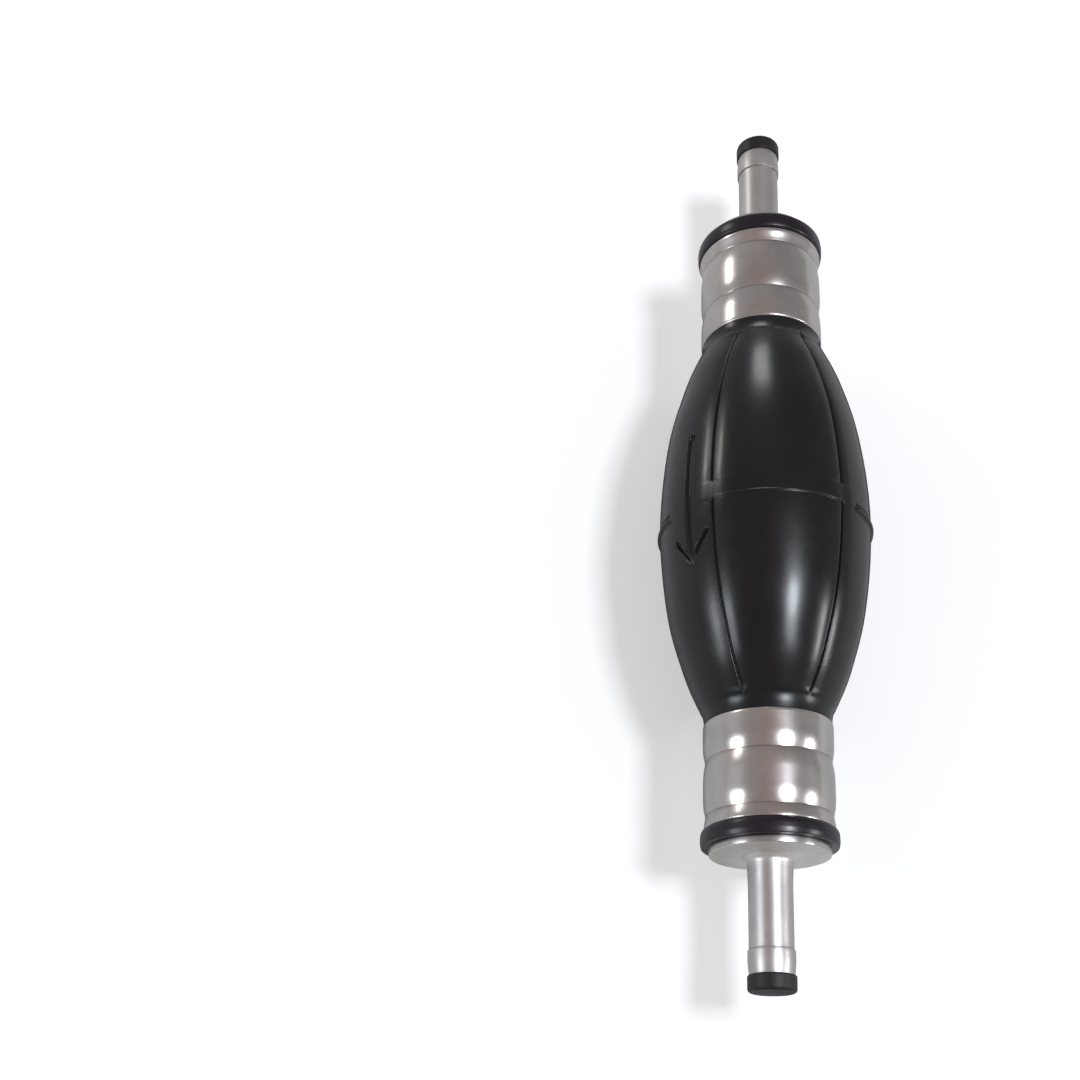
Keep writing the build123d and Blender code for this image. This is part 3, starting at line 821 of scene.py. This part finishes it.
def make_floor():
    mesh = bpy.data.meshes.new("floor")
    lines = np.linspace(-FLOOR_HALF, FLOOR_HALF, FLOOR_LINES)
    corners = [i * FLOOR_LINES + j for i in range(FLOOR_LINES - 1) for j in range(FLOOR_LINES - 1)]
    mesh.from_pydata([(x, y, FLOOR_Z) for x in lines for y in lines], [],
                     [(a, a + FLOOR_LINES, a + FLOOR_LINES + 1, a + 1) for a in corners])
    floor = bpy.data.objects.new("floor", mesh)
    bpy.context.scene.collection.objects.link(floor)
    paint(floor, floor_material())


make_floor()

# ------------------------------------------------------------------ lights
LIGHT_DISTANCE = 1.1


def add_posed(name, data, x_axis, y_axis, z_axis, position):
    obj = bpy.data.objects.new(name, data)
    bpy.context.scene.collection.objects.link(obj)
    pose = Matrix((x_axis, y_axis, z_axis)).transposed().to_4x4()
    pose.translation = position
    obj.matrix_world = pose
    return obj


def add_light(name, turn, tilt, width, length, power, colour):
    """Area light aimed at the origin. Degrees: turn from +Z towards +Y, tilt towards +X.
    The width lies across the pump's axis."""
    light = bpy.data.lights.new(name, "AREA")
    light.shape = "RECTANGLE"
    light.size, light.size_y = width, length
    light.energy = power
    light.color = colour
    turn, tilt = math.radians(turn), math.radians(tilt)
    position = Vector((math.sin(tilt), math.cos(tilt) * math.sin(turn),
                       math.cos(tilt) * math.cos(turn))) * LIGHT_DISTANCE
    z_axis = position.normalized()
    x_axis = Vector((1, 0, 0)).cross(z_axis).normalized()
    return add_posed(name, light, x_axis, z_axis.cross(x_axis), z_axis, position)


add_light("key", turn=22.5, tilt=3, width=0.19, length=0.24, power=6.0, colour=(0.85, 0.92, 1.0))
add_light("left_fill", turn=-64, tilt=5, width=0.36, length=0.26, power=2.3,
          colour=(0.87, 0.93, 1.0))
add_light("right_fill", turn=68, tilt=6, width=0.17, length=0.26, power=2.1,
          colour=(0.98, 0.99, 1.0))
add_light("warm_side", turn=-69, tilt=-36, width=0.07, length=0.24, power=0.95,
          colour=(1.0, 0.97, 0.92))
sheen = add_light("far_soft", turn=-10, tilt=-65, width=0.24, length=0.28, power=1.5,
                  colour=(0.93, 0.97, 1.0))
# this one lights only the bulb
rubber_only = bpy.data.collections.new("sheen_on_rubber")
for half in bulb_halves:
    rubber_only.objects.link(half)
sheen.light_linking.receiver_collection = rubber_only


# ------------------------------------------------------------------ world
def make_world():
    """The camera sees a pale backdrop, everything else a dimmer room."""
    world = bpy.data.worlds.new("studio")
    bpy.context.scene.world = world
    world.use_nodes = True
    n = Nodes(world.node_tree)
    output = n.new("OutputWorld")
    direction = n.new("TexCoord").outputs["Generated"]
    height = n.new("SeparateXYZ", {0: direction}).outputs["Z"]
    room = n.ramp(height, (0.0, (0.42, 0.42, 0.42, 1)), (0.55, (0.33, 0.33, 0.335, 1)),
                  (0.95, (0.315, 0.260, 0.244, 1)))
    # the room's dark side, towards -X and +Y
    towards = n.new("VectorMath", {0: direction, 1: (-0.643, 0.72, 0.262)},
                    operation="DOT_PRODUCT").outputs["Value"]
    dimming = n.remap(towards, span=(0.62, 0.93), to=(1.0, 0.72), interpolation_type="SMOOTHSTEP")
    room = n.new("VectorMath", {0: room, "Scale": dimming}, operation="SCALE").outputs["Vector"]
    dim = n.new("Background", {"Color": room}).outputs[0]
    pale = n.new("Background", {"Color": (1.0, 1.0, 1.0, 1)}).outputs[0]
    seen = n.new("LightPath").outputs["Is Camera Ray"]
    n.wire(output, {"Surface": n.mix_shader(seen, dim, pale)})


make_world()

# ------------------------------------------------------------------ camera
CAMERA_PLACE = (0.15647, -0.04902, 0.30950)
CAMERA_RIGHT = (-0.03001, 0.99955, 0.00097)
CAMERA_BACK = (0.29507, 0.00794, 0.95544)


def make_camera():
    camera = bpy.data.cameras.new("camera")
    camera.sensor_width = 36.0
    camera.sensor_fit = "HORIZONTAL"
    camera.lens = 47.33
    camera.shift_x, camera.shift_y = -0.002037037, 0.2094444
    camera.clip_start, camera.clip_end = 0.01, 30
    back = Vector(CAMERA_BACK).normalized()
    up = back.cross(Vector(CAMERA_RIGHT).normalized()).normalized()
    right = up.cross(back).normalized()
    scene = bpy.context.scene
    scene.camera = add_posed("camera", camera, right, up, back, Vector(CAMERA_PLACE))
    scene.view_settings.view_transform = "Standard"
    scene.view_settings.look = "None"
    scene.view_settings.exposure = 0.0


make_camera()
